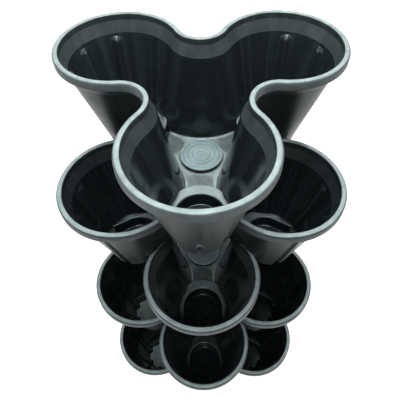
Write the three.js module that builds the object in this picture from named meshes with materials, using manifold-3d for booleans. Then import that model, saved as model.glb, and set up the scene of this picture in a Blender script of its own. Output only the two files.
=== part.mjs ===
// Vertical planter tower: trefoil pots stacked crosswise, each with a round cap in the middle of its floor.
// Millimetres, +Z up. The origin is on the ground, on the tower's axis. The top pot's front pocket faces -Y.
import * as THREE from 'three';
import { mergeVertices } from 'three/addons/utils/BufferGeometryUtils.js';
import Module from 'manifold-3d';

const wasm = await Module();
wasm.setup();

// The stack
const potCount = 6;
const pocketCount = 3;
const potHeight = 142.5;
const lapDepth = 17.9; // how far a pot's floor drops below the rim that it sits on
const seatGap = 0.3; // left between surfaces that rest on each other
const wallThickness = 2.2;
const floorThickness = 3;

// Middle line of the rim, seen from above
const rimForm = { pocketDistance: 114, pocketRadius: 75, neckReach: 67.8 };

// Inner face of the wall where it meets the floor
const floorForm = { pocketDistance: 111, pocketRadius: 33.5, neckReach: 35.3 };

// The rolled rim and the collar under it
const rimInset = 2.6; // middle line to the rim's inner face
const rimOverhang = 4.5; // middle line to the skirt's outer face
const rimOuterRound = 3;
const rimInnerRound = 1.6;
const skirtDepth = 11;
const skirtThickness = 2;
const collarDepth = 8.6; // upright band inside the rim
const funnelDepth = 14.8; // sloping band under the collar
const funnelInset = 6.8;

// The flutes pressed into the wall of each pocket
const fluteAngles = [-45, 0, 45];
const fluteRadius = 6.3;
const fluteSink = 2; // flute's axis to the wall's inner face
const fluteTopGap = 3.6; // under the funnel band

// The arched channels under the floor, and the trough that each leaves in its foot
const channelClearance = 0.6;
const troughRadius = 27.5; // at the floor
const troughDraft = 2.5; // wider at the ridge's top, on each side
const ridgeTipThickness = 3.7; // channel to trough, at the ridge's tip and top

// The well and the cap in the middle of the floor
const wellRadius = 30;
const seatThickness = 1.2;
const seatWidth = 6;
const capGap = 1.8; // all round the cap, inside the well
const capThickness = 2;
const capRise = 5.2; // cap's top above the floor
const capRound = 0.8;

// How finely round stretches are stepped
const frontSteps = 2; // from a pocket's middle to where the tower is widest
const pocketSteps = 4; // from there on to the neck
const neckSteps = 4;
const troughSteps = 6;
const fluteSides = 6;
const discSides = 20;

const overrun = 5; // how far a cutting solid runs past what it cuts

// Worked out from the sizes above
const halfPitch = Math.PI / pocketCount; // angle from a pocket to the neck beside it
const frontAngle = -Math.PI / 2;
const widestAngle = halfPitch / 2; // a turned pocket's widest place across the tower, from its middle
const potPitch = potHeight - lapDepth;
const funnelFoot = potHeight - collarDepth - funnelDepth;
const funnelFootOffset = -rimInset - funnelInset;
const channelRoof = lapDepth + seatGap;
const ridgeTop = channelRoof + wallThickness;
const troughTopRadius = troughRadius + troughDraft;
const troughTip = rimForm.neckReach + rimOverhang + channelClearance + ridgeTipThickness;
const capRadius = wellRadius - capGap;
const capFoot = seatThickness + seatGap;
const capTop = floorThickness + capRise;

// Where the outline's points lie round a pocket, as angles from the pocket's middle
function pocketAngles(sweep) {
  const side = [];
  for (let step = 1; step <= frontSteps; step += 1) side.push(widestAngle * (step / frontSteps));
  for (let step = 1; step <= pocketSteps; step += 1) {
    side.push(widestAngle + (sweep - widestAngle) * (step / pocketSteps));
  }
  return [...side.map((angle) => -angle).reverse(), 0, ...side];
}

// A trefoil: an arc round each pocket, and a hollow arc at each neck that meets the pockets smoothly
function trefoil(form, offset, turn) {
  const distance = form.pocketDistance;
  const radius = form.pocketRadius + offset;
  const reach = form.neckReach + offset;
  const along = distance * Math.cos(halfPitch);
  const neckRadius = (distance ** 2 - 2 * along * reach + reach ** 2 - radius ** 2) / (2 * (radius + along - reach));
  const neckCentre = new THREE.Vector2(reach + neckRadius, 0).rotateAround(new THREE.Vector2(), halfPitch);
  const toNeck = neckCentre.clone().sub(new THREE.Vector2(distance, 0));
  const pocketSweep = toNeck.angle();
  const neckSweep = toNeck.angleTo(neckCentre);
  const points = [];
  for (let pocket = 0; pocket < pocketCount; pocket += 1) {
    const facing = turn + frontAngle + 2 * halfPitch * pocket;
    const place = (x, y) => points.push(new THREE.Vector2(x, y).rotateAround(new THREE.Vector2(), facing));
    for (const angle of pocketAngles(pocketSweep)) {
      place(distance + radius * Math.cos(angle), radius * Math.sin(angle));
    }
    for (let step = 1; step < neckSteps; step += 1) {
      const angle = halfPitch + Math.PI + neckSweep * (1 - (2 * step) / neckSteps);
      place(neckCentre.x + neckRadius * Math.cos(angle), neckCentre.y + neckRadius * Math.sin(angle));
    }
  }
  return points;
}

// A skin through outlines stacked in order. It closes on itself, or is capped at its first and last outline.
function loft(rings, closed) {
  const count = rings[0].points.length;
  const positions = rings.flatMap(({ points, height }) => points.flatMap(({ x, y }) => [x, y, height]));
  const index = [];
  const bands = closed ? rings.length : rings.length - 1;
  for (let band = 0; band < bands; band += 1) {
    const next = (band + 1) % rings.length;
    for (let side = 0; side < count; side += 1) {
      const beside = (side + 1) % count;
      const lower = [band * count + side, band * count + beside];
      const upper = [next * count + side, next * count + beside];
      index.push(lower[0], lower[1], upper[1], lower[0], upper[1], upper[0]);
    }
  }
  if (!closed) {
    const last = (rings.length - 1) * count;
    for (const [a, b, c] of THREE.ShapeUtils.triangulateShape(rings[0].points, [])) index.push(a, c, b);
    for (const [a, b, c] of THREE.ShapeUtils.triangulateShape(rings.at(-1).points, [])) {
      index.push(last + a, last + b, last + c);
    }
  }
  const geometry = new THREE.BufferGeometry();
  geometry.setAttribute('position', new THREE.Float32BufferAttribute(positions, 3));
  geometry.setIndex(index);
  return geometry;
}

function toSolid(geometry) {
  const bare = geometry.clone();
  bare.deleteAttribute('normal');
  bare.deleteAttribute('uv');
  const merged = mergeVertices(bare);
  const vertProperties = new Float32Array(merged.attributes.position.array);
  const triVerts = new Uint32Array(merged.index.array);
  return new wasm.Manifold(new wasm.Mesh({ numProp: 3, vertProperties, triVerts }));
}

function toGeometry(solid) {
  const mesh = solid.getMesh();
  const geometry = new THREE.BufferGeometry();
  geometry.setAttribute('position', new THREE.Float32BufferAttribute(mesh.vertProperties, mesh.numProp));
  geometry.setIndex(new THREE.Uint32BufferAttribute(mesh.triVerts, 1));
  geometry.computeVertexNormals();
  return geometry;
}

// A round bore on the pot's axis, from the given height up
function bore(radius, foot) {
  const geometry = new THREE.CylinderGeometry(radius, radius, potHeight, discSides);
  geometry.rotateX(Math.PI / 2);
  geometry.translate(0, 0, foot + potHeight / 2);
  return toSolid(geometry);
}

// The pot's skin: up the outer face, over the skirt and the rim, down the inner face to the floor
function potSkin() {
  const ring = (form, offset, height) => ({ points: trefoil(form, offset, 0), height });
  const skirtRoof = potHeight - rimOuterRound;
  const rings = [
    ring(floorForm, wallThickness, 0),
    ring(rimForm, funnelFootOffset + wallThickness, funnelFoot),
    ring(rimForm, wallThickness - rimInset, potHeight - collarDepth),
    ring(rimForm, wallThickness - rimInset, skirtRoof),
    ring(rimForm, rimOverhang - skirtThickness, skirtRoof),
    ring(rimForm, rimOverhang - skirtThickness, potHeight - skirtDepth),
    ring(rimForm, rimOverhang, potHeight - skirtDepth),
    ring(rimForm, rimOverhang, potHeight - rimOuterRound),
    ring(rimForm, rimOverhang - rimOuterRound, potHeight),
    ring(rimForm, rimInnerRound - rimInset, potHeight),
    ring(rimForm, -rimInset, potHeight - rimInnerRound),
    ring(rimForm, -rimInset, potHeight - collarDepth),
    ring(rimForm, funnelFootOffset, funnelFoot),
    ring(floorForm, 0, floorThickness),
  ];
  return toSolid(loft(rings, false));
}

// The pot filled in up to the middle of its wall, below the funnel: what is added inside the pot ends here
function potCore() {
  const rings = [
    { points: trefoil(floorForm, wallThickness / 2, 0), height: 0 },
    { points: trefoil(rimForm, funnelFootOffset + wallThickness / 2, 0), height: funnelFoot },
  ];
  return toSolid(loft(rings, false));
}

// A band that follows the rim of the pot below, with the same profile all the way round.
// The profile lists its corners as offsets from the rim's middle line and heights, up the outer side first.
function rimBand(profile) {
  const rings = profile.map(([offset, height]) => ({ points: trefoil(rimForm, offset, halfPitch), height }));
  return toSolid(loft(rings, true));
}

// The inner face of the lower rim at a height beside this pot's floor, where its funnel slopes inwards
const lowerFunnel = (height) => -rimInset - (funnelInset * (lapDepth - collarDepth - height)) / funnelDepth;

function channelHollow() {
  const outer = rimOverhang + channelClearance;
  return rimBand([
    [outer, -overrun],
    [outer, channelRoof],
    [-rimInset - channelClearance, channelRoof],
    [lowerFunnel(-overrun) - channelClearance, -overrun],
  ]);
}

// The floor of a foot: a trough with a round end towards the axis and straight sides that run out past the wall
function trough(facing) {
  const centre = troughTip + troughTopRadius;
  const end = rimForm.pocketDistance + rimForm.pocketRadius;
  const rings = [floorThickness / 2, ridgeTop + overrun].map((height) => {
    const radius = troughRadius + (troughDraft * (height - floorThickness)) / (ridgeTop - floorThickness);
    const points = [new THREE.Vector2(end, radius)];
    for (let step = 0; step <= troughSteps; step += 1) {
      const angle = Math.PI / 2 + (Math.PI * step) / troughSteps;
      points.push(new THREE.Vector2(centre + radius * Math.cos(angle), radius * Math.sin(angle)));
    }
    points.push(new THREE.Vector2(end, -radius));
    return { points: points.map((point) => point.rotateAround(new THREE.Vector2(), facing)), height };
  });
  return toSolid(loft(rings, false));
}

// The ridges over the channels. Each fills its foot from the lower rim's inner side out to the wall, less the trough.
function channelRidges(core, facings) {
  const top = -rimInset - channelClearance - wallThickness;
  const bottom = lowerFunnel(0) - channelClearance - wallThickness;
  const inside = [-overrun, ridgeTop + overrun].map((height) => {
    const offset = bottom + ((top - bottom) * height) / ridgeTop;
    return { points: trefoil(rimForm, offset, halfPitch), height };
  });
  const filled = core.trimByPlane([0, 0, -1], -ridgeTop).subtract(toSolid(loft(inside, false)));
  return facings.reduce((rest, facing) => rest.subtract(trough(facing)), filled);
}

// Axis of a flute: it follows the wall from the funnel down to the floor
function fluteAxis(angle) {
  const spot = (form, offset, height) => {
    const radius = form.pocketRadius + offset + fluteSink;
    return new THREE.Vector3(form.pocketDistance + radius * Math.cos(angle), radius * Math.sin(angle), height);
  };
  const foot = spot(floorForm, 0, floorThickness);
  const head = spot(rimForm, funnelFootOffset, funnelFoot);
  return { foot, up: head.sub(foot).normalize() };
}

// A rod with a pointed head along a flute's axis, turned to the given pocket
function fluteRod(radius, angle, facing) {
  const { foot, up } = fluteAxis(angle);
  const bottom = -overrun - fluteRadius;
  const length = (funnelFoot - fluteTopGap - fluteRadius - bottom) / up.z;
  const profile = [[0, 0], [radius, 0], [radius, length], [0, length + radius]];
  const geometry = new THREE.LatheGeometry(profile.map(([x, y]) => new THREE.Vector2(x, y)), fluteSides);
  geometry.applyQuaternion(new THREE.Quaternion().setFromUnitVectors(new THREE.Vector3(0, 1, 0), up));
  const start = foot.addScaledVector(up, (bottom - foot.z) / up.z);
  geometry.translate(start.x, start.y, start.z);
  geometry.rotateZ(facing);
  return toSolid(geometry);
}

// One whole pot, standing on z = 0, with its front pocket towards -Y
function makePot() {
  const core = potCore();
  const facings = Array.from({ length: pocketCount }, (_, pocket) => frontAngle + 2 * halfPitch * pocket);
  let pot = potSkin().add(channelRidges(core, facings));
  for (const facing of facings) {
    for (const angle of fluteAngles.map(THREE.MathUtils.degToRad)) {
      pot = pot.add(fluteRod(fluteRadius, angle, facing).intersect(core));
      pot = pot.subtract(fluteRod(fluteRadius - wallThickness, angle, facing));
    }
  }
  pot = pot.subtract(channelHollow());
  pot = pot.subtract(bore(wellRadius, seatThickness)).subtract(bore(wellRadius - seatWidth, -overrun));
  return toGeometry(pot);
}

// An inverted cup. It stands in the well, in the pot's own frame.
function makeCap() {
  const profile = [
    [0, capTop - capThickness],
    [capRadius - capThickness, capTop - capThickness],
    [capRadius - capThickness, capFoot],
    [capRadius, capFoot],
    [capRadius, capTop - capRound],
    [capRadius - capRound, capTop],
    [0, capTop],
  ].map(([radius, height]) => new THREE.Vector2(radius, height));
  const geometry = new THREE.LatheGeometry(profile, discSides);
  geometry.rotateX(Math.PI / 2);
  return toGeometry(toSolid(geometry));
}

const potPlastic = new THREE.MeshStandardMaterial({ color: 0x2c3032, roughness: 0.32, metalness: 0 });
const capPlastic = new THREE.MeshStandardMaterial({ color: 0x2f3335, roughness: 0.3, metalness: 0 });

const potGeometry = makePot();
const capGeometry = makeCap();
const tower = new THREE.Group();

// Tier 1 is the top pot. Each pot is turned half a pocket's pitch from the one above it.
for (let tier = 1; tier <= potCount; tier += 1) {
  const place = new THREE.Group();
  place.position.z = (potCount - tier) * potPitch;
  place.rotation.z = (tier % 2 === 0) ? halfPitch : 0;
  const pot = new THREE.Mesh(potGeometry, potPlastic.clone());
  pot.name = tier === 1 ? 'pot_1_top' : tier === potCount ? `pot_${tier}_base` : `pot_${tier}`;
  const cap = new THREE.Mesh(capGeometry, capPlastic.clone());
  cap.name = `centre_cap_${tier}`;
  place.add(pot, cap);
  tower.add(place);
}

export default tower;
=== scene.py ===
# %% [markdown]
# # A tower of trefoil planters
#
# Six identical pots stand on one another. Seen from above each pot is a trefoil: three round pockets that
# run into one another. Every pot is turned 60 degrees from the one below, so the floor under a pocket rests
# on the neck between two pockets of the lower pot. A round cap stands in the middle of each floor.
#
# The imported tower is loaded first. It fixes every size and place, and each piece made here takes the place
# of one of its plain solids.

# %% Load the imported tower
from math import atan2, cos, hypot, pi, radians, sin, sqrt

import bmesh
import bpy
from mathutils import Matrix, Vector


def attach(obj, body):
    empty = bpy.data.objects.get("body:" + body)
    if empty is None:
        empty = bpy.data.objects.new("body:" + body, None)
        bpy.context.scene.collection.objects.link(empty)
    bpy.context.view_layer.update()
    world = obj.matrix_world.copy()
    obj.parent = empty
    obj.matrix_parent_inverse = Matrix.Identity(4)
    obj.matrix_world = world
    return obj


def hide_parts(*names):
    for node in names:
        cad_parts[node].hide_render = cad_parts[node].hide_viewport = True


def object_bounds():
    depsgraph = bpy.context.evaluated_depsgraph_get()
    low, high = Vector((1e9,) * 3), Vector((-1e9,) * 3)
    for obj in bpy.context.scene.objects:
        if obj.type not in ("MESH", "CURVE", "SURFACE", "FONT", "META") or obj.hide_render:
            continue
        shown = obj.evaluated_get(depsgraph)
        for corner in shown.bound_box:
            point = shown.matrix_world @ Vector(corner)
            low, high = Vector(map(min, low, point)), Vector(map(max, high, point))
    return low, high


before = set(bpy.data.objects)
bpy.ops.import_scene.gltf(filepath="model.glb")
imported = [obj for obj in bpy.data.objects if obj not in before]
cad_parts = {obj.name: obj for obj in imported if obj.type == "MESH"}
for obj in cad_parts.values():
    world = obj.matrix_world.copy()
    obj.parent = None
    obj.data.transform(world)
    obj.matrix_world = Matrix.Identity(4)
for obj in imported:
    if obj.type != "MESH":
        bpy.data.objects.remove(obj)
cad_box = [list(corner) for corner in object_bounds()]
print("solids", len(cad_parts), "tower", [round(high - low, 4) for low, high in zip(*cad_box)])

# %% [markdown]
# ## The camera
#
# The photograph looks down into the tower from close by, about 47 degrees below the horizon, so the lower
# pots shrink quickly. The place, the lens and the small upward offset of the lens's axis were found by
# matching the rims of all six pots. The camera could be aimed with a constraint, but a matrix of its three
# axes also takes the slight roll.

# %% Place the camera
PICTURE = 400.0
SENSOR = 36.0
lens_pixels = 422.53
axis_pixel = 157.84
eye = Vector((0.01048, -0.38858, cad_box[1][2] + 0.27881))
pitch, yaw, roll = 0.8245, 0.0318, -0.0255

forward = Vector((-sin(yaw) * cos(pitch), cos(yaw) * cos(pitch), -sin(pitch)))
level = Vector((cos(yaw), sin(yaw), 0.0))
upright = level.cross(forward)
right = level * cos(roll) + upright * sin(roll)
above = upright * cos(roll) - level * sin(roll)

camera = bpy.data.objects.new("camera", bpy.data.cameras.new("camera"))
camera.data.sensor_width = SENSOR
camera.data.lens = lens_pixels * SENSOR / PICTURE
camera.data.shift_y = (axis_pixel - PICTURE / 2) / PICTURE
camera.data.clip_start = 0.01
camera.matrix_world = Matrix((right, above, -forward)).transposed().to_4x4()
camera.location = eye
bpy.context.scene.collection.objects.link(camera)
bpy.context.scene.camera = camera
print("lens", round(camera.data.lens, 2), "shift", round(camera.data.shift_y, 4))

# %% [markdown]
# ## The floor
#
# The tower stands on a plain white floor. More lamps would make the floor whiter, but they would bleach the
# pots too. So the floor glows instead, and only for the rays that see it: from the camera, from a mirroring
# surface or through glass. For all other rays it is a plain pale floor, and it keeps the tower's shadow.
#
# Materials and the world are both trees of nodes. Three helpers are shared from here on: one makes an
# object, one joins sockets, and one gives the mask of those rays.

# %% Write the first helpers
WHITE = (1.0, 1.0, 1.0, 1.0)
RAYS_THAT_SEE_WHITE = ("Is Camera Ray", "Is Glossy Ray", "Is Transmission Ray")


def new_object(name, mesh):
    thing = bpy.data.objects.new(name, mesh)
    bpy.context.scene.collection.objects.link(thing)
    return thing


def link(tree, *pairs):
    for output, socket in pairs:
        tree.links.new(output, socket)


def seen_rays(tree):
    """One for the rays that see white, and nothing for the rest."""
    path = tree.nodes.new("ShaderNodeLightPath")
    total = path.outputs[RAYS_THAT_SEE_WHITE[0]]
    for kind in RAYS_THAT_SEE_WHITE[1:]:
        larger = tree.nodes.new("ShaderNodeMath")
        larger.operation = "MAXIMUM"
        link(tree, (total, larger.inputs[0]), (path.outputs[kind], larger.inputs[1]))
        total = larger.outputs[0]
    return total


print("rays that see white", RAYS_THAT_SEE_WHITE)

# %% [markdown]
# The floor is one large square. It lies half a millimetre under the tower's foot, so that the two faces
# never fight for the same place.

# %% Lay the floor
FLOOR_REACH, UNDER_FOOT = 6.0, 0.0005
FLOOR_GREY, FLOOR_GLOW = 0.86, 0.8

ground = bmesh.new()
bmesh.ops.create_grid(ground, x_segments=1, y_segments=1, size=FLOOR_REACH)
floor_mesh = bpy.data.meshes.new("floor")
ground.to_mesh(floor_mesh)
ground.free()
floor = new_object("floor", floor_mesh)
floor.location.z = -UNDER_FOOT

paper = bpy.data.materials.new("white floor")
paper.use_nodes = True
tree = paper.node_tree
shader = tree.nodes["Principled BSDF"]
shader.inputs["Base Color"].default_value = (FLOOR_GREY, FLOOR_GREY, FLOOR_GREY, 1.0)
shader.inputs["Roughness"].default_value = 0.9
glow = tree.nodes.new("ShaderNodeMath")
glow.operation = "MULTIPLY"
glow.inputs[1].default_value = FLOOR_GLOW
shader.inputs["Emission Color"].default_value = WHITE
link(tree, (seen_rays(tree), glow.inputs[0]), (glow.outputs[0], shader.inputs["Emission Strength"]))
floor_mesh.materials.append(paper)
print("floor", floor.name, "reach", FLOOR_REACH, "glow", FLOOR_GLOW)

# %% [markdown]
# ## The light
#
# Black gloss plastic shows little colour of its own: much of what one sees is what it mirrors. A small
# panel hangs close over the tower, so the light fades from the top pot down to the base. A wide, high panel
# behind the tower shows in the flat ridges, the rims and the ribs, and weaker panels stand at the front and
# the sides. The sky is white only to the rays that see white. To all others it is nearly black, so it fills
# the shadows a little and no more.

# %% Hang the light
SKY_FILL = 0.06

sky = bpy.data.worlds.new("sky")
bpy.context.scene.world = sky
sky.use_nodes = True
tree = sky.node_tree
for node in list(tree.nodes):
    tree.nodes.remove(node)
even = tree.nodes.new("ShaderNodeBackground")
even.inputs["Strength"].default_value = SKY_FILL
white = tree.nodes.new("ShaderNodeBackground")
white.inputs["Color"].default_value = WHITE
choose = tree.nodes.new("ShaderNodeMixShader")
out = tree.nodes.new("ShaderNodeOutputWorld")
link(tree, (seen_rays(tree), choose.inputs[0]), (even.outputs[0], choose.inputs[1]),
     (white.outputs[0], choose.inputs[2]), (choose.outputs[0], out.inputs["Surface"]))


def panel(name, place, aim, size, watts):
    lamp = bpy.data.lights.new(name, "AREA")
    lamp.shape = "RECTANGLE"
    lamp.size, lamp.size_y = size
    lamp.energy = watts
    thing = bpy.data.objects.new(name, lamp)
    thing.location = place
    thing.rotation_euler = (Vector(aim) - Vector(place)).to_track_quat("-Z", "Y").to_euler()
    bpy.context.scene.collection.objects.link(thing)
    return thing


panel("near panel", (0.0, -0.1, 1.5), (0.0, 0.1, 0.7), (0.3, 0.3), 1.6)
panel("top panel", (0.0, 0.0, 2.2), (0.0, 0.0, 0.0), (0.8, 0.8), 14.0)
panel("high panel", (0.0, 1.5, 2.7), (0.0, 0.0, 0.6), (2.2, 1.6), 26.0)
panel("front panel", (0.0, -0.9, 1.9), (0.0, 0.0, 0.5), (0.5, 0.5), 8.0)
panel("left panel", (-2.0, -0.6, 1.8), (0.0, 0.0, 0.5), (0.6, 1.6), 12.0)
panel("right panel", (2.0, -0.6, 1.8), (0.0, 0.0, 0.5), (0.6, 1.6), 12.0)
bpy.context.scene.view_settings.view_transform = "Standard"

# %% [markdown]
# ## Moulded plastic
#
# The pots are injection moulded in glossy black plastic. Close up it isn't one flat black: the flowing
# plastic leaves faint streaks that run down the walls, partly painted reflection streaks in the colour, the
# gloss varies in soft patches, the surface has a little orange peel, and the rims and floors, which hands
# and wet soil rub, turn a pale blue-grey, which is partly that rubbing and partly painted highlights and
# painted light from above. Three small node groups give the first three effects, so both plastics can
# share them.
#
# The streaks come first. They are noise that is stretched upwards: a Mapping node squeezes the height, so a
# patch that is a few millimetres wide becomes a band many times taller. The group reads a place named
# unrolled, which each piece stores on its mesh: there the sloping wall is a straight cylinder, so the
# streaks follow the slope. In the colour the paler streaks are partly flow marks and partly painted
# streaks of reflected light. In the gloss they only vary the roughness.

# %% Draw the flow streaks, partly painted reflection
PLACE = ("Vector", "NodeSocketVector", (0, 0, 0))


def effect_group(name, inputs, outputs):
    group = bpy.data.node_groups.new(name, "ShaderNodeTree")
    for label, kind, value in inputs:
        socket = group.interface.new_socket(name=label, in_out="INPUT", socket_type=kind)
        socket.default_value = value
    for label, kind in outputs:
        group.interface.new_socket(name=label, in_out="OUTPUT", socket_type=kind)
    return group, group.nodes.new("NodeGroupInput"), group.nodes.new("NodeGroupOutput")


def add_node(group, kind, settings=(), **values):
    node = group.nodes.new(kind)
    for name, value in dict(settings).items():
        setattr(node, name, value)
    for name, value in values.items():
        node.inputs[name.replace("_", " ")].default_value = value
    return node


streaks, given, result = effect_group(
    "flow and sheen streaks",
    [PLACE, ("Width", "NodeSocketFloat", 110.0), ("Stretch", "NodeSocketFloat", 0.02)],
    [("Mask", "NodeSocketFloat")])
squeeze = add_node(streaks, "ShaderNodeMapping", {"vector_type": "POINT"})
scale = add_node(streaks, "ShaderNodeCombineXYZ", X=1.0, Y=1.0)
bands = add_node(streaks, "ShaderNodeTexNoise", {"noise_dimensions": "3D"}, Detail=2.0, Roughness=0.5)
sharpen = add_node(streaks, "ShaderNodeMapRange", {"interpolation_type": "SMOOTHSTEP"},
                   From_Min=0.4, From_Max=0.75)
link(streaks,
     (given.outputs["Vector"], squeeze.inputs["Vector"]),
     (given.outputs["Stretch"], scale.inputs["Z"]),
     (scale.outputs[0], squeeze.inputs["Scale"]),
     (squeeze.outputs[0], bands.inputs["Vector"]),
     (given.outputs["Width"], bands.inputs["Scale"]),
     (bands.outputs["Fac"], sharpen.inputs["Value"]),
     (sharpen.outputs[0], result.inputs["Mask"]))
print("streaks", len(streaks.nodes), "nodes")

# %% [markdown]
# The soft patches are a second noise, in plain object coordinates. The gloss uses it, and so does the
# rubbed grey. Orange peel is a shallow height, so it is given out as a normal by a Bump node.

# %% Add patches and orange peel
patches, given, result = effect_group(
    "gloss patches",
    [PLACE, ("Size", "NodeSocketFloat", 22.0), ("Low", "NodeSocketFloat", 0.25),
     ("High", "NodeSocketFloat", 0.36)],
    [("Value", "NodeSocketFloat")])
cloud = add_node(patches, "ShaderNodeTexNoise", Detail=4.0, Roughness=0.6)
spread = add_node(patches, "ShaderNodeMapRange", From_Min=0.3, From_Max=0.7)
link(patches,
     (given.outputs["Vector"], cloud.inputs["Vector"]),
     (given.outputs["Size"], cloud.inputs["Scale"]),
     (cloud.outputs["Fac"], spread.inputs["Value"]),
     (given.outputs["Low"], spread.inputs["To Min"]),
     (given.outputs["High"], spread.inputs["To Max"]),
     (spread.outputs[0], result.inputs["Value"]))

peel, given, result = effect_group(
    "orange peel",
    [PLACE, ("Depth", "NodeSocketFloat", 0.05), ("Size", "NodeSocketFloat", 420.0)],
    [("Normal", "NodeSocketVector")])
pores = add_node(peel, "ShaderNodeTexNoise", Detail=2.0)
bump = add_node(peel, "ShaderNodeBump", Distance=0.0006)
link(peel,
     (given.outputs["Vector"], pores.inputs["Vector"]),
     (given.outputs["Size"], pores.inputs["Scale"]),
     (pores.outputs["Fac"], bump.inputs["Height"]),
     (given.outputs["Depth"], bump.inputs["Strength"]),
     (bump.outputs[0], result.inputs["Normal"]))
print("effects", [group.name for group in bpy.data.node_groups])

# %% [markdown]
# The plastic mixes a deep and a paler black by the streaks, the paler black partly a painted reflection,
# and then a pale blue-grey by an attribute named rubbed_and_lit, which each piece stores on its mesh. That
# grey is partly rubbing and partly painted highlights and painted light from above. Soft patches break up
# the grey. A second attribute, textured, is one where the mould is etched, outside and on the sloping band
# under the rim: there the plastic mirrors less.

# %% Mix the plastics
WORN_DULL, STREAK_DULL, ETCHED_DULL = 0.15, 0.04, 0.2
MIRRORS, ETCHED_LOSS = 0.5, -0.3


def times_plus(tree, factor, plus=0.0):
    """A node that multiplies by a factor and then adds a number, or what is linked to its third socket."""
    node = add_node(tree, "ShaderNodeMath", {"operation": "MULTIPLY_ADD"})
    node.inputs[1].default_value, node.inputs[2].default_value = factor, plus
    return node


def moulded_plastic(name, deep, pale, worn_and_lit, gloss, depth):
    material = bpy.data.materials.new(name)
    material.use_nodes = True
    tree = material.node_tree
    shader = tree.nodes["Principled BSDF"]
    shader.inputs["IOR"].default_value = 1.5
    shader.inputs["Specular Tint"].default_value = (0.84, 1.0, 1.0, 1.0)
    place = tree.nodes.new("ShaderNodeTexCoord")
    rubbed_and_lit = add_node(tree, "ShaderNodeAttribute", {"attribute_name": "rubbed_and_lit"})
    unrolled = add_node(tree, "ShaderNodeAttribute", {"attribute_name": "unrolled"})
    textured = add_node(tree, "ShaderNodeAttribute", {"attribute_name": "textured"})
    flow_and_sheen = add_node(tree, "ShaderNodeGroup", {"node_tree": streaks})
    shine = add_node(tree, "ShaderNodeGroup", {"node_tree": patches}, Low=gloss[0], High=gloss[1])
    blotch = add_node(tree, "ShaderNodeGroup", {"node_tree": patches}, Size=80.0, Low=0.6, High=1.0)
    skin = add_node(tree, "ShaderNodeGroup", {"node_tree": peel}, Depth=depth)
    worn_and_lit_share = add_node(tree, "ShaderNodeMath", {"operation": "MULTIPLY"})
    tone = add_node(tree, "ShaderNodeMix", {"data_type": "RGBA"})
    tone.inputs["A"].default_value, tone.inputs["B"].default_value = deep, pale
    # The pale grey mixed in here is partly rubbing and partly painted highlights and painted light from
    # above.
    wear_and_light = add_node(tree, "ShaderNodeMix", {"data_type": "RGBA"})
    wear_and_light.inputs["B"].default_value = worn_and_lit
    haze, dull, etched = (times_plus(tree, share) for share in (STREAK_DULL, WORN_DULL, ETCHED_DULL))
    faint = times_plus(tree, ETCHED_LOSS, MIRRORS)
    for node in (shine, skin, blotch):
        link(tree, (place.outputs["Object"], node.inputs["Vector"]))
    link(tree,
         (unrolled.outputs["Vector"], flow_and_sheen.inputs["Vector"]),
         (flow_and_sheen.outputs["Mask"], tone.inputs["Factor"]),
         (tone.outputs["Result"], wear_and_light.inputs["A"]),
         (rubbed_and_lit.outputs["Fac"], worn_and_lit_share.inputs[0]),
         (blotch.outputs["Value"], worn_and_lit_share.inputs[1]),
         (worn_and_lit_share.outputs[0], wear_and_light.inputs["Factor"]),
         (wear_and_light.outputs["Result"], shader.inputs["Base Color"]),
         (flow_and_sheen.outputs["Mask"], haze.inputs[0]),
         (shine.outputs["Value"], haze.inputs[2]),
         (rubbed_and_lit.outputs["Fac"], dull.inputs[0]),
         (haze.outputs[0], dull.inputs[2]),
         (textured.outputs["Fac"], etched.inputs[0]),
         (dull.outputs[0], etched.inputs[2]),
         (etched.outputs[0], shader.inputs["Roughness"]),
         (textured.outputs["Fac"], faint.inputs[0]),
         (faint.outputs[0], shader.inputs["Specular IOR Level"]),
         (skin.outputs["Normal"], shader.inputs["Normal"]))
    return material


pot_plastic = moulded_plastic("pot plastic", (0.005, 0.008, 0.009, 1), (0.014, 0.02, 0.022, 1),
                              (0.34, 0.425, 0.42, 1), (0.12, 0.2), 0.04)
cap_plastic = moulded_plastic("cap plastic", (0.014, 0.019, 0.021, 1), (0.03, 0.039, 0.041, 1),
                              (0.30, 0.40, 0.42, 1), (0.2, 0.32), 0.05)
print("plastics", [material.name for material in (pot_plastic, cap_plastic)])

# %% [markdown]
# ## Sizes of a pot
#
# These are the sizes that the solids are built from, in metres. A form is one level outline of the pot: how
# far the pockets' centres are from the axis, the pockets' radius, and how far the necks reach in. The rim
# has one form and the floor another, and the wall between them changes evenly from one to the other.

# %% Name the sizes
MM = 0.001
TIERS, POCKETS = 6, 3
HALF_PITCH = pi / POCKETS
FRONT = -pi / 2
HEIGHT, LAP, SEAT, WALL, FLOOR = 142.5 * MM, 17.9 * MM, 0.3 * MM, 2.2 * MM, 3.0 * MM
PITCH = HEIGHT - LAP
RIM = (114.0 * MM, 75.0 * MM, 67.8 * MM)
FOOT = (111.0 * MM, 33.5 * MM, 35.3 * MM)
INSET, OVERHANG = 2.6 * MM, 4.5 * MM
CROWN, LIP = 3.0 * MM, 1.6 * MM
SKIRT, SKIRT_WALL = 11.0 * MM, 2.0 * MM
COLLAR, FUNNEL, FUNNEL_INSET = 8.6 * MM, 14.8 * MM, 6.8 * MM
WALL_TOP = HEIGHT - COLLAR - FUNNEL
WALL_TOP_FORM = (RIM[0], RIM[1] - INSET - FUNNEL_INSET, RIM[2] - INSET - FUNNEL_INSET)
pocket_turns = [FRONT + 2 * HALF_PITCH * pocket for pocket in range(POCKETS)]
print("pitch", round(PITCH, 5), "tower height", round((TIERS - 1) * PITCH + HEIGHT, 5))

# %% [markdown]
# ## One outline, drawn with compasses
#
# An outline is six arcs that touch smoothly: an arc round each pocket and a hollow arc at each neck. A
# draughtsman would swing a pencil round one centre after the other. Spin does the same with one vertex:
# each spin goes on from where the last one ended. A curve object could hold such arcs too, but its points
# can't be matched ring by ring.

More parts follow.
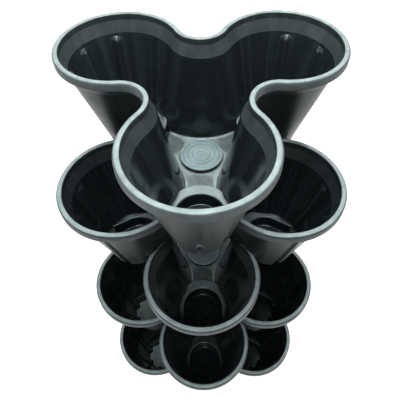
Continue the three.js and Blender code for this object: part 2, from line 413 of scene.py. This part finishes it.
# %% Draw an outline
POCKET_STEPS, NECK_STEPS = 156, 24


def arcs_of(form, offset=0.0):
    """Pocket radius, neck radius, neck centre's distance, and half the sweep of both arcs."""
    distance, radius, reach = form[0], form[1] + offset, form[2] + offset
    along = distance * cos(HALF_PITCH)
    neck = (distance ** 2 - 2 * along * reach + reach ** 2 - radius ** 2) / (2 * (radius + along - reach))
    x, y = (reach + neck) * cos(HALF_PITCH) - distance, (reach + neck) * sin(HALF_PITCH)
    sweep = atan2(y, x)
    return radius, neck, reach + neck, sweep, sweep - HALF_PITCH


def around(angle, distance, height=0.0):
    return Vector((distance * cos(angle), distance * sin(angle), height))


def outline(form, offset, height, turn=0.0):
    """Draws one closed outline at a height, as a small mesh of its own."""
    radius, _, neck_distance, sweep, neck_sweep = arcs_of(form, offset)
    bm = bmesh.new()
    tip = [bm.verts.new(around(FRONT + turn, form[0], height) + around(FRONT + turn - sweep, radius))]
    for pocket in range(POCKETS):
        facing = FRONT + turn + 2 * HALF_PITCH * pocket
        swings = ((facing, form[0], 2 * sweep, POCKET_STEPS),
                  (facing + HALF_PITCH, neck_distance, -2 * neck_sweep, NECK_STEPS))
        for angle, distance, swing, steps in swings:
            spun = bmesh.ops.spin(bm, geom=tip, cent=around(angle, distance, height), axis=(0, 0, 1),
                                  angle=swing, steps=steps, dvec=(0, 0, 0))
            tip = [item for item in spun["geom_last"] if isinstance(item, bmesh.types.BMVert)]
    bmesh.ops.remove_doubles(bm, verts=bm.verts, dist=0.00001)
    mesh = bpy.data.meshes.new("outline")
    bm.to_mesh(mesh)
    bm.free()
    return mesh


def add_outline(bm, mesh):
    """Puts an outline into a larger mesh and returns its edges there."""
    count = len(bm.edges)
    bm.from_mesh(mesh)
    bpy.data.meshes.remove(mesh)
    bm.edges.ensure_lookup_table()
    return bm.edges[count:]


sample = outline(RIM, 0.0, 0.0)
print("points on an outline", len(sample.vertices), "arcs", [round(value, 4) for value in arcs_of(RIM)])
bpy.data.meshes.remove(sample)

# %% [markdown]
# ## From outlines to a skin
#
# The pot's skin is a stack of outlines, bridged one to the next: up the outer wall, over the skirt and the
# rolled rim, down the inner face, and round a small fillet into the floor. Solidify on a single wall would
# be quicker, but the skirt, the collar and the funnel need their own profile.
#
# Bridging tells which way two outlines run from the line between their middles. Two outlines at one height
# have the same middle, so one of them is raised for a moment while they are bridged.

# %% Stack outlines into a skin
def wall_form(height):
    """The wall's form at a height between the floor and the funnel."""
    share = max(height - FLOOR, 0.0) / (WALL_TOP - FLOOR)
    return tuple(low + (high - low) * share for low, high in zip(FOOT, WALL_TOP_FORM))


def stack(rings, turn=0.0, closed=False):
    """Bridges a list of (form, offset, height) outlines. It is capped at both ends, or closes on itself."""
    bm = bmesh.new()
    loops = [add_outline(bm, outline(form, offset, height, turn)) for form, offset, height in rings]
    order = list(range(len(rings))) + ([0] if closed else [])
    for this, that in zip(order, order[1:]):
        level = abs(rings[this][2] - rings[that][2]) < 0.01 * MM
        raised = list({vert for edge in loops[that] for vert in edge.verts}) if level else []
        bmesh.ops.translate(bm, verts=raised, vec=(0, 0, MM))
        bmesh.ops.bridge_loops(bm, edges=loops[this] + loops[that])
        bmesh.ops.translate(bm, verts=raised, vec=(0, 0, -MM))
    if not closed:
        for loop in (loops[0], loops[-1]):
            bmesh.ops.contextual_create(bm, geom=loop)
    bmesh.ops.recalc_face_normals(bm, faces=bm.faces)
    return bm


def rounded(centre, height, radius, start, stop, steps):
    """Offsets and heights on a round, with angles counted from straight outwards."""
    turns = [start + (stop - start) * step / steps for step in range(steps + 1)]
    return [(centre + radius * cos(turn), height + radius * sin(turn)) for turn in turns]


print("wall form half way up, mm", [round(value / MM, 1) for value in wall_form((FLOOR + WALL_TOP) / 2)])

# %% [markdown]
# The heights along the wall are close together only where the flutes end, because only there the wall
# changes quickly. Above and below the sloping band under the rim two outlines stand very close to each
# other, because a mask on the points blends from one outline to the next, and the band is to have clean
# borders.

# %% List the outlines
FILLET, EDGE, BORDER = 2.6 * MM, 0.7 * MM, 0.15 * MM
FLUTE_TOP_GAP, FLUTE_RADIUS, FLUTE_SINK = 3.6 * MM, 6.3 * MM, 2.0 * MM
FLUTES = [radians(angle) for angle in (-45, 0, 45)]
dome_centre = WALL_TOP - FLUTE_TOP_GAP - FLUTE_RADIUS

plain = [FLOOR + FILLET + (dome_centre - FLOOR - FILLET) * step / 14 for step in range(15)]
DOME_SHARES = (0.2, 0.4, 0.55, 0.68, 0.79, 0.87, 0.93, 0.97, 1.0, 1.06)
domed = [dome_centre + FLUTE_RADIUS * share for share in DOME_SHARES]
outer_heights = plain + domed + [WALL_TOP]
inner_heights = plain + domed + [WALL_TOP - BORDER, WALL_TOP]

under = [(WALL - INSET, HEIGHT - COLLAR), (WALL - INSET, HEIGHT - CROWN)]
under += [(OVERHANG - SKIRT_WALL, HEIGHT - CROWN), (OVERHANG - SKIRT_WALL, HEIGHT - SKIRT)]
hem_line = rounded(OVERHANG - EDGE, HEIGHT - SKIRT + EDGE, EDGE, -pi / 2, 0, 3)
crown_line = rounded(OVERHANG - CROWN, HEIGHT - CROWN, CROWN, 0, pi / 2, 7)
lip_line = rounded(LIP - INSET, HEIGHT - LIP, LIP, pi / 2, pi, 5)
fillet = rounded(-FILLET, FLOOR + FILLET, FILLET, 0, -pi / 2, 5)[1:]

skin_rings = [(FOOT, WALL - EDGE, 0.0), (FOOT, WALL, EDGE)]
skin_rings += [(wall_form(height), WALL, height) for height in outer_heights]
skin_rings += [(RIM, offset, height) for offset, height in under + hem_line + crown_line + lip_line]
skin_rings += [(RIM, -INSET, HEIGHT - COLLAR + BORDER), (RIM, -INSET, HEIGHT - COLLAR)]
skin_rings += [(wall_form(height), 0.0, height) for height in reversed(inner_heights)]
skin_rings += [(wall_form(height), offset, height) for offset, height in fillet]
print("outlines", len(skin_rings), "heights on the inner wall", len(inner_heights))

# %% [markdown]
# The mould is etched outside, up to half way round the rim's crown, and on the sloping band inside. Which
# points that takes in is known while the skin is still a stack of outlines, so the attribute named textured
# is stored now, and the cuts that follow carry it along.

# %% Build the pot's skin
pot_skin = stack(skin_rings)
texture = pot_skin.verts.layers.float.new("textured")
per_ring = len(pot_skin.verts) // len(skin_rings)
etched_rings = 2 + len(outer_heights) + len(under) + len(hem_line) + len(crown_line) // 2
for number, vert in enumerate(pot_skin.verts):
    ring = skin_rings[number // per_ring]
    on_band = ring[2] in (WALL_TOP, HEIGHT - COLLAR) and ring[1] < WALL / 2
    vert[texture] = float(number // per_ring < etched_rings or on_band)
print("faces", len(pot_skin.faces), "open edges", sum(not edge.is_manifold for edge in pot_skin.edges))

# %% [markdown]
# ## Flutes
#
# Each pocket's wall has three flutes. They are pressed in from outside, so they show as grooves there and
# as ribs with round heads inside. On the skin each flute is a press with a round rod: every point of the
# wall that the rod reaches moves in to the rod's face, and a soft minimum leaves a small round where rod
# and wall meet.

# %% Press the flutes
FLUTE_BLEND, FLUTE_REACH = 1.2 * MM, radians(75)


def soft_least(a, b, reach):
    """The smaller of two values, with a small round where they are close."""
    blend = max(reach - abs(a - b), 0.0) / reach
    return min(a, b) - blend * blend * reach / 4


def pressed(radius, wall_radius, angle, rod, height):
    """A point's distance from the pocket's centre once a flute at an angle to it is pressed in."""
    if height > dome_centre:
        rod = sqrt(max(rod ** 2 - (height - dome_centre) ** 2, 0.0))
    distance = wall_radius + FLUTE_SINK
    across = distance * sin(angle)
    if rod <= abs(across):
        return radius
    return soft_least(radius, distance * cos(angle) - sqrt(rod ** 2 - across ** 2), FLUTE_BLEND)


def press_flutes(bm):
    moved = 0
    for vert in bm.verts:
        height = vert.co.z
        if height > WALL_TOP - FLUTE_TOP_GAP + 0.1 * MM:
            continue
        form = wall_form(height)
        for facing in pocket_turns:
            centre = around(facing, form[0], height)
            spot = vert.co - centre
            turn = (atan2(spot.y, spot.x) - facing + pi) % (2 * pi) - pi
            radius = hypot(spot.x, spot.y)
            if abs(turn) > FLUTE_REACH or radius > form[1] + WALL + EDGE:
                continue
            offset = radius - form[1]
            rod = FLUTE_RADIUS - min(max(offset, 0.0), WALL)
            wall_radius = form[1] + min(offset, 0.0)
            nearest = min(FLUTES, key=lambda flute: abs(turn - flute))
            new = pressed(radius, wall_radius, turn - nearest, rod, height)
            if new < radius - 1e-6:
                vert.co = centre + spot * (new / radius)
                moved += 1
    return moved


print("points moved by the flutes", press_flutes(pot_skin))

# %% [markdown]
# ## Ridges, channels and the well
#
# Under the floor of each pocket runs an arched channel that straddles the lower pot's rim. Inside the pot
# the same channel shows as a ridge across the pocket, flat on top, and beyond the ridge lies a trough with
# a round end and two straight sides. Ridges, channels and the round well for the cap are joined to the skin
# or cut from it with Boolean modifiers, which keep the shapes exact where they cross the sloping wall.

# %% Join and cut
SOLVER = "MANIFOLD"


def to_object(bm, name):
    mesh = bpy.data.meshes.new(name)
    bm.to_mesh(mesh)
    bm.free()
    return new_object(name, mesh)


def combine(piece, other, operation):
    """Applies one Boolean to the piece and throws the other solid away."""
    cut = piece.modifiers.new(operation, "BOOLEAN")
    cut.operation, cut.solver, cut.object = operation, SOLVER, other
    bpy.context.view_layer.update()
    ready = piece.evaluated_get(bpy.context.evaluated_depsgraph_get())
    old, new = piece.data, bpy.data.meshes.new_from_object(ready)
    piece.modifiers.clear()
    piece.data = new
    bpy.data.meshes.remove(old)
    bpy.data.objects.remove(other)
    return piece


print("Booleans use the solver", SOLVER)

# %% [markdown]
# The trough's outline is an arch: half a circle that faces the axis, and two straight legs that run
# outwards. A solid through a few arches of growing radius has the draft that lets a moulding leave its
# mould. The same arch cuts the recesses on the hub's arms further down, so it is written for both.

# %% Draw an arch
CLEAR = 0.6 * MM
CHANNEL_ROOF = LAP + SEAT
RIDGE_TOP = CHANNEL_ROOF + WALL
OVERRUN = 5.0 * MM
TROUGH, TROUGH_DRAFT = 27.5 * MM, 2.5 * MM
TROUGH_CENTRE = RIM[2] + OVERHANG + CLEAR + 3.7 * MM + TROUGH + TROUGH_DRAFT


def arch(bm, centre, radius, height, reach, steps):
    """Half a circle that faces the axis, and two straight legs that run out to a distance from the axis."""
    start = bm.verts.new((centre, radius, height))
    spun = bmesh.ops.spin(bm, geom=[start], cent=(centre, 0, height), axis=(0, 0, 1), angle=pi, steps=steps,
                          dvec=(0, 0, 0))
    end = [item for item in spun["geom_last"] if isinstance(item, bmesh.types.BMVert)][0]
    corners = [bm.verts.new((reach, side * radius, height)) for side in (1, -1)]
    for pair in ((corners[0], start), (end, corners[1]), (corners[1], corners[0])):
        bm.edges.new(pair)
    return [edge for edge in bm.edges if all(abs(vert.co.z - height) < 1e-7 for vert in edge.verts)]


def arch_solid(line, centre, reach, facing, steps=28):
    """A solid through arches that are given as (radius, height), from the lowest up, turned to a pocket."""
    bm = bmesh.new()
    loops = [arch(bm, centre, radius, height, reach, steps) for radius, height in line]
    for lower, upper in zip(loops, loops[1:]):
        bmesh.ops.bridge_loops(bm, edges=lower + upper)
    for loop in (loops[0], loops[-1]):
        bmesh.ops.contextual_create(bm, geom=loop)
    bmesh.ops.rotate(bm, verts=bm.verts, cent=(0, 0, 0), matrix=Matrix.Rotation(facing, 3, "Z"))
    bmesh.ops.recalc_face_normals(bm, faces=bm.faces)
    return to_object(bm, "arch")


print("ridge top, mm", round(RIDGE_TOP / MM, 2), "trough centre, mm", round(TROUGH_CENTRE / MM, 2))

# %% [markdown]
# The ridge's edges are rounded and its feet have a small fillet. Both are part of the cutters' outlines: a
# cutter spreads in a quarter circle where it leaves the ridge's top, and draws in where it meets the floor.

# %% Shape the ridge's sides
RIDGE_ROUND, RIDGE_FILLET = 2.0 * MM, 1.6 * MM


def side_line(offset_at):
    """Offsets and heights of a cutter that leaves a ridge with a side at offset_at(height)."""
    foot, shoulder = FLOOR + RIDGE_FILLET, RIDGE_TOP - RIDGE_ROUND
    low = offset_at(foot) - RIDGE_FILLET
    line = [(low, FLOOR / 2)] + rounded(low, foot, RIDGE_FILLET, -pi / 2, 0, 5)
    turned_in = rounded(0.0, shoulder, RIDGE_ROUND, 0, pi / 2, 6)
    line += [(offset_at(shoulder) + RIDGE_ROUND - across, height) for across, height in turned_in]
    return line + [(offset_at(shoulder) + RIDGE_ROUND, RIDGE_TOP + OVERRUN)]


def trough_side(height):
    return TROUGH + TROUGH_DRAFT * (height - FLOOR) / (RIDGE_TOP - FLOOR)


def ridge_back(height):
    low = -INSET - FUNNEL_INSET * (LAP - COLLAR) / FUNNEL
    return low + (-INSET - low) * height / RIDGE_TOP - CLEAR - WALL


trough_line, back_line = side_line(trough_side), side_line(ridge_back)
print("trough radii, mm", [round(radius / MM, 1) for radius, _ in trough_line])

# %% [markdown]
# The ridge starts as a block that fills the foot of the pot, flutes and all, up to the ridge's height. The
# hub is cut from it along the lower pot's outline, and the three troughs with arches: what is left is the
# ridge. It is joined to the skin, and last the channel for the lower rim is cut along the same outline from
# below.

# %% Make the ridges and channels
TROUGH_STEPS = 48

foot_line = [(FOOT, WALL / 2, 0.0)]
foot_line += [(wall_form(height), WALL / 2, height) for height in (FLOOR, RIDGE_TOP)]
foot_fill = stack(foot_line)
press_flutes(foot_fill)
ridge = to_object(foot_fill, "ridge")
back_line[0] = (back_line[0][0], -OVERRUN)
hub = stack([(RIM, offset, height) for offset, height in back_line], turn=HALF_PITCH)
combine(ridge, to_object(hub, "hub"), "DIFFERENCE")
for facing in pocket_turns:
    trough = arch_solid(trough_line, TROUGH_CENTRE, RIM[0] + RIM[1], facing, TROUGH_STEPS)
    combine(ridge, trough, "DIFFERENCE")

channel_foot = -INSET - FUNNEL_INSET * (LAP - COLLAR + OVERRUN) / FUNNEL - CLEAR
channel_line = [(channel_foot, -OVERRUN), (OVERHANG + CLEAR, -OVERRUN)]
channel_line += rounded(OVERHANG + CLEAR - LIP, CHANNEL_ROOF - LIP, LIP, 0, pi / 2, 3)
channel_line += [(-INSET - CLEAR, CHANNEL_ROOF)]
channel = stack([(RIM, offset, height) for offset, height in channel_line], turn=HALF_PITCH, closed=True)
pot = to_object(pot_skin, "pot")
combine(pot, ridge, "UNION")
combine(pot, to_object(channel, "channel"), "DIFFERENCE")
print("faces with ridges and channels", len(pot.data.polygons))

# %% [markdown]
# The well is turned, so its cutter is spun: half an outline, swept once round the axis. A small flare at
# its mouth gives the bright line that runs round the cap.

# %% Bore the well
WELL, SEAT_FLOOR, SEAT_WIDTH = 30.0 * MM, 1.2 * MM, 6.0 * MM
FLARE, FLARE_DEPTH = 1.1 * MM, 1.0 * MM


def turned(profile, steps=96):
    """Spins a profile of (radius, height) points once round the axis, on which it starts and ends."""
    bm = bmesh.new()
    verts = [bm.verts.new((radius, 0.0, height)) for radius, height in profile]
    edges = [bm.edges.new(pair) for pair in zip(verts, verts[1:])]
    bmesh.ops.spin(bm, geom=verts + edges, cent=(0, 0, 0), axis=(0, 0, 1), angle=2 * pi, steps=steps,
                   dvec=(0, 0, 0), use_merge=True)
    bmesh.ops.remove_doubles(bm, verts=bm.verts, dist=0.000001)
    bmesh.ops.dissolve_degenerate(bm, dist=0.0000001, edges=bm.edges)
    bmesh.ops.recalc_face_normals(bm, faces=bm.faces)
    return bm


well_line = [(0.0, FLOOR + OVERRUN), (WELL + FLARE, FLOOR + OVERRUN), (WELL + FLARE, FLOOR + 0.02 * MM)]
well_line += [(WELL + 0.35 * MM, FLOOR - 0.3 * MM), (WELL, FLOOR - FLARE_DEPTH), (WELL, SEAT_FLOOR)]
well_line += [(WELL - SEAT_WIDTH, SEAT_FLOOR), (WELL - SEAT_WIDTH, -OVERRUN), (0.0, -OVERRUN)]
combine(pot, to_object(turned(well_line), "well"), "DIFFERENCE")
print("faces with the well", len(pot.data.polygons))

# %% [markdown]
# Each arm of the floor has a shallow recess with a round end beside the well, and in it a small raised ring
# with a dot in the middle. The recess is cut with an arch that gets a little wider towards its mouth, as
# moulds need.

# %% Sink the arm recesses
ARM_RADIUS, ARM_PLACE, ARM_DEPTH = 15.0 * MM, 46.8 * MM, 0.4 * MM
STUD_STEPS = 40
STUD_LINE = [(0.0, -1.2), (5.4, -1.2), (5.4, 0.1), (5.1, 0.4), (4.6, 0.4), (4.3, 0.05), (0.9, 0.05),
             (0.7, 0.35), (0.0, 0.45)]
arm_line = [(ARM_RADIUS + spread * MM, FLOOR + height * MM) for spread, height in
            ((-0.5, -0.4), (0.1, -0.1), (0.7, 0.02), (0.7, 5.0))]


def stud(facing):
    """The raised ring and its dot, from a line that is given in millimetres above the recess."""
    bm = turned([(radius * MM, FLOOR - ARM_DEPTH + height * MM) for radius, height in STUD_LINE], STUD_STEPS)
    bmesh.ops.translate(bm, verts=bm.verts, vec=(ARM_PLACE, 0, 0))
    bmesh.ops.rotate(bm, verts=bm.verts, cent=(0, 0, 0), matrix=Matrix.Rotation(facing, 3, "Z"))
    return to_object(bm, "stud")


for facing in pocket_turns:
    combine(pot, arch_solid(arm_line, ARM_PLACE, RIM[2] + ridge_back(FLOOR) + MM, facing), "DIFFERENCE")
    combine(pot, stud(facing), "UNION")
print("faces of one pot", len(pot.data.polygons), "size", [round(side, 4) for side in pot.dimensions])

# %% [markdown]
# ## Shading, rubbing and painted light
#
# Boolean cuts leave long thin faces. The faces are shaded smooth, edges sharper than 32 degrees are marked,
# and a Weighted Normal modifier lets the large flat faces rule the shading, so the floors stay flat right
# up to their fillets.
#
# Attributes on the points tell the plastic where it is pale from rubbing and painted light, and where it is
# textured. Unrolled is the point's place with the wall rolled out into a straight cylinder: a direction from
# the pocket's middle, as a share of the direction of the neck's middle, says how far round the outline the
# point lies.

# %% Finish a mesh
SHARP = radians(32)


def ramp(low, high, value):
    """Rises softly from nothing at low to one at high. With low above high it falls."""
    share = min(max((value - low) / (high - low), 0.0), 1.0)
    return share * share * (3 - 2 * share)


def unroll(spot):
    """The point's place with the wall rolled out into a straight cylinder."""
    form = wall_form(min(spot.z, WALL_TOP))
    turn = (atan2(spot.y, spot.x) - FRONT) / (2 * HALF_PITCH)
    centre = around(FRONT + 2 * HALF_PITCH * round(turn), form[0])
    neck = around(HALF_PITCH, form[2]) - Vector((form[0], 0, 0))
    direction = atan2(spot.y - centre.y, spot.x - centre.x) - FRONT - 2 * HALF_PITCH * round(turn)
    direction = (direction + pi) % (2 * pi) - pi
    way = HALF_PITCH * (2 * round(turn) + direction / atan2(neck.y, neck.x))
    return around(way, RIM[0] + RIM[1], spot.z)


def store(mesh, name, kind, values):
    layer = mesh.attributes.new(name, kind, "POINT")
    layer.data.foreach_set("value" if kind == "FLOAT" else "vector", values)


def finish_mesh(piece, material, rim_highlights_and_rubbing, top_light_and_rubbing):
    mesh = piece.data
    mesh.validate()
    mesh.shade_smooth()
    mesh.set_sharp_from_angle(angle=SHARP)
    spots = [vert.co for vert in mesh.vertices]
    store(mesh, "rubbed_and_lit", "FLOAT", [rim_highlights_and_rubbing(spot) for spot in spots])
    store(mesh, "rubbing and top light", "FLOAT", [top_light_and_rubbing(spot) for spot in spots])
    store(mesh, "unrolled", "FLOAT_VECTOR", [value for spot in spots for value in unroll(spot)])
    mesh.materials.clear()
    mesh.materials.append(material)


print("middle of a neck, unrolled", [round(value, 3) for value in unroll(around(HALF_PITCH, RIM[2]))])

# %% [markdown]
# The pale grey on a pot is strong on the rim's crown, and weaker on the hub's floor and on the ridges. It is
# partly rubbing and partly painted light: painted highlights on the rim, the edges, the hub's corners and
# the well's edge, a painted sheen on the walls, and painted light from above. Two functions give it: one for
# what all pots have alike, and one for the painted light from above, with some rubbing, that is strongest on
# the top pot. To tell the inside of the wall from the outside, a point's distance from the outline at its
# own height is worked out from the arcs. A third function paints a pale patch on the floor of one pocket,
# which stands in for a reflection of light.

# %% Rubbing and painted light on a pot
# Shares of pale grey: partly rubbing, partly painted highlights, glints, sheen and painted light from above.
ROLL_LIGHT_AND_RUB, SKIRT_LIGHT, HEM_HIGHLIGHT, EDGE_GLINT = 0.1, 0.04, 0.2, 0.3
LIP_LIGHT, CROWN_LIGHT_AND_RUB, BAND_LIGHT, WALL_SHEEN = 0.15, 0.3, 0.14, 0.03
RIDGE_LIGHT_AND_RUB, CORNER_HIGHLIGHT, HUB_LIGHT_AND_RUB = 0.8, 0.9, 0.38


def outside(spot, form):
    """How far a point lies outside an outline."""
    radius, neck, neck_distance, sweep, _ = arcs_of(form)
    facing = FRONT + 2 * HALF_PITCH * round((atan2(spot.y, spot.x) - FRONT) / (2 * HALF_PITCH))
    flat = Vector((spot.x, spot.y, 0))
    arm = flat - around(facing, form[0])
    if abs((atan2(arm.y, arm.x) - facing + pi) % (2 * pi) - pi) <= sweep:
        return arm.length - radius
    return neck - min((flat - around(facing + side * HALF_PITCH, neck_distance)).length for side in (1, -1))


def rim_highlights_and_rubbing(spot):
    """Pale grey that all pots have alike, on the rim, the skirt's lower edge and the ridges' round edges:
    partly rubbing on the rim, and painted highlights and glints on all three.
    """
    # The rim's crown, roll and skirt are painted paler as highlights on the rolled rim, partly rubbing; the
    # skirt's lower edge gets a painted highlight line.
    crown = ramp(HEIGHT - 0.9 * MM, HEIGHT - 0.1 * MM, spot.z)
    roll = ROLL_LIGHT_AND_RUB * ramp(HEIGHT - CROWN - 1.0 * MM, HEIGHT - CROWN + 1.0 * MM, spot.z)
    skirt = SKIRT_LIGHT * ramp(HEIGHT - SKIRT - 0.5 * MM, HEIGHT - SKIRT + 0.5 * MM, spot.z)
    hem = HEM_HIGHLIGHT * ramp(1.0 * MM, 0.3 * MM, abs(spot.z - (HEIGHT - SKIRT + 0.4 * MM)))
    if spot.z > HEIGHT / 2:
        return max(crown, roll, max(skirt, hem) * (outside(spot, RIM) > WALL))
    # A painted glint along the ridges' round edges.
    on_edge = ramp(1.0 * MM, 0.5 * MM, abs(spot.z - RIDGE_TOP + 0.9 * MM))
    return EDGE_GLINT * on_edge * (outside(spot, wall_form(spot.z)) < -1.0 * MM)


def top_light_and_rubbing(spot):
    """Painted light from above and painted highlights, with some rubbing, that the top pot has most: on the
    hub, the well's edge, the ridges, the wall and the rim.
    """
    # The rim's inner lip, its crown and the sloping band under it get painted light.
    if spot.z > HEIGHT - COLLAR + 0.1 * MM:
        inner = outside(spot, RIM) < WALL
        return LIP_LIGHT if inner else CROWN_LIGHT_AND_RUB * (spot.z > HEIGHT - CROWN)
    if spot.z > WALL_TOP - 0.1 * MM:
        return BAND_LIGHT
    # The walls get only a faint painted sheen.
    if outside(spot, wall_form(spot.z)) > -0.3 * MM or spot.z > RIDGE_TOP + MM:
        return WALL_SHEEN
    away = hypot(spot.x, spot.y)
    ridge = ramp(0.5 * MM, 0.1 * MM, abs(spot.z - RIDGE_TOP))
    hub_floor = ramp(72 * MM, 60 * MM, away) * ramp(2.2 * MM, 0.9 * MM, abs(spot.z - FLOOR + 0.4 * MM))
    # The hub's corners and the well's edge get a painted highlight; the hub floor and ridge tops get painted
    # light from above, partly rubbing.
    corner = outside(spot, wall_form(spot.z)) > -3.2 * MM
    hub_light_and_rubbing = CORNER_HIGHLIGHT if corner or away < WELL + 1.3 * MM else HUB_LIGHT_AND_RUB
    return max(RIDGE_LIGHT_AND_RUB * ridge, hub_floor * hub_light_and_rubbing)


def reflection_patch(spot, facing):
    """A pale patch on the floor of one pocket's trough: a painted reflection of light."""
    level = abs(spot.z - FLOOR) < 0.2 * MM and outside(spot, wall_form(spot.z)) < 0.0
    return float(level and (spot - around(facing, TROUGH_CENTRE, spot.z)).length < 1.4 * TROUGH)


finish_mesh(pot, pot_plastic, rim_highlights_and_rubbing, top_light_and_rubbing)
print("points that are worn", sum(item.value > 0.1 for item in pot.data.attributes["rubbed_and_lit"].data))

# %% [markdown]
# ## The centre cap
#
# The cap is a shallow inverted cup, turned with fine rings on its top and a dot in the middle. A lathe
# makes such a form, so it is spun from half its outline.

# %% Turn the cap
CAP = WELL - 1.8 * MM
CAP_FOOT, CAP_TOP, CAP_WALL = SEAT_FLOOR + SEAT, FLOOR + 5.2 * MM, 2.0 * MM
GROOVE, CAP_ROUND, CAP_STEPS = 0.45 * MM, 0.8 * MM, 128

cap_line = [(0.0, CAP_TOP), (0.5 * MM, CAP_TOP), (0.9 * MM, CAP_TOP - GROOVE)]
cap_line += [(1.6 * MM, CAP_TOP - GROOVE), (2.0 * MM, CAP_TOP)]
for radius in [CAP * share for share in (0.2, 0.42, 0.64, 0.86)]:
    cap_line += [(radius - 0.9 * MM, CAP_TOP), (radius - 0.5 * MM, CAP_TOP - GROOVE)]
    cap_line += [(radius + 0.5 * MM, CAP_TOP - GROOVE), (radius + 0.9 * MM, CAP_TOP)]
cap_line += reversed(rounded(CAP - CAP_ROUND, CAP_TOP - CAP_ROUND, CAP_ROUND, 0, pi / 2, 5))
cap_line += [(CAP, CAP_TOP - 1.3 * MM), (CAP, CAP_FOOT), (CAP - CAP_WALL, CAP_FOOT)]
cap_line += [(CAP - CAP_WALL, CAP_TOP - CAP_WALL), (0.0, CAP_TOP - CAP_WALL)]
cap = to_object(turned(cap_line, CAP_STEPS), "cap")
print("cap", [round(side, 4) for side in cap.dimensions])

# %% [markdown]
# The cap is painted pale on its round edge, as a painted highlight, and on its top, as painted light from
# above that it mirrors, partly rubbing too; a little less in the grooves, and hardly at all on its side,
# which stays dark in the gap of the well. The top pot's cap gets nearly twice as much of this painted light.

# %% Painted highlights and rubbing on the cap
CAP_EDGE_HIGHLIGHT, CAP_GROOVE_LIGHT, CAP_TOP_LIGHT, CAP_LIT_FROM_ABOVE = 0.8, 0.42, 0.12, 1.9


def cap_highlights_and_rubbing(spot):
    away = hypot(spot.x, spot.y)
    # A painted highlight on the round edge, and painted light from above on the top and in the grooves.
    edge = ramp(CAP - 1.6 * MM, CAP - CAP_ROUND, away) * ramp(CAP_TOP - 1.2 * MM, CAP_TOP - 0.6 * MM, spot.z)
    grooved = CAP_GROOVE_LIGHT * ramp(CAP_TOP - 0.8 * MM, CAP_TOP - 0.5 * MM, spot.z)
    level = CAP_TOP_LIGHT * ramp(CAP_TOP - 0.4 * MM, CAP_TOP, spot.z)
    return max(grooved + level, CAP_EDGE_HIGHLIGHT * edge)


# The second share is the same paint made stronger, as painted light from above.
finish_mesh(cap, cap_plastic, cap_highlights_and_rubbing, lambda spot: min(1.0, CAP_LIT_FROM_ABOVE * cap_highlights_and_rubbing(spot)))
worn_and_lit_points = sum(item.value > 0.1 for item in cap.data.attributes["rubbed_and_lit"].data)
print("points on the cap that are worn", worn_and_lit_points)

# %% [markdown]
# ## Six tiers
#
# Every tier gets its own copy of both meshes, turned and raised in the mesh itself, so each object stays at
# the origin. Each copy rides on its own body, so it lifts as the imported tower says. The share of painted
# light from above, with some rubbing, is full on the top pot and less on the lower pots, as painted shade
# under the pots above. The streaks of each tier are taken from another part of the noise.

# %% Stack the tiers
LIT_FROM_ABOVE, SHADED_BELOW = {1: 1.0, 2: 0.4, 3: 0.55}, 0.1
REFLECTING_FLOORS = {4: pocket_turns[2], 6: pocket_turns[2]}
FACE_WEIGHT = 80


def place(pattern, name, tier, node, body):
    mesh = pattern.data.copy()
    # Per tier, the painted light from above is added: full on the top pot, less on the shaded pots below.
    for point, floor_point in zip(mesh.attributes["rubbed_and_lit"].data, mesh.attributes["rubbing and top light"].data):
        point.value = max(point.value, LIT_FROM_ABOVE.get(tier, SHADED_BELOW) * floor_point.value)
    for point in mesh.attributes["unrolled"].data:
        point.vector.z += tier
    # Two floors get the pale patch, a painted reflection of light.
    if pattern == pot and tier in REFLECTING_FLOORS:
        for point, vert in zip(mesh.attributes["rubbed_and_lit"].data, mesh.vertices):
            point.value = max(point.value, reflection_patch(vert.co, REFLECTING_FLOORS[tier]))
    lift = Vector((0, 0, (TIERS - tier) * PITCH))
    turn = Matrix.Rotation(HALF_PITCH if tier % 2 == 0 else 0.0, 4, "Z")
    mesh.transform(Matrix.Translation(lift) @ turn)
    piece = new_object(name, mesh)
    weigh = piece.modifiers.new("weigh normals", "WEIGHTED_NORMAL")
    weigh.keep_sharp, weigh.weight = True, FACE_WEIGHT
    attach(piece, body)
    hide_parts(node)
    "cap_plastic" if "cap" in name else "pot_plastic"
    return piece


names = {1: "pot_1_top", 6: "pot_6_base"}
tower = []
for tier in range(1, TIERS + 1):
    node = names.get(tier, f"pot_{tier}")
    tower.append(place(pot, f"trefoil_pot_{tier}", tier, node, f"pot_{tier}_body"))
    tower.append(place(cap, f"round_cap_{tier}", tier, f"centre_cap_{tier}", f"cap_{tier}_body"))
for pattern in (pot, cap):
    bpy.data.objects.remove(pattern)
print("pieces", len(tower), "faces", sum(len(piece.data.polygons) for piece in tower))
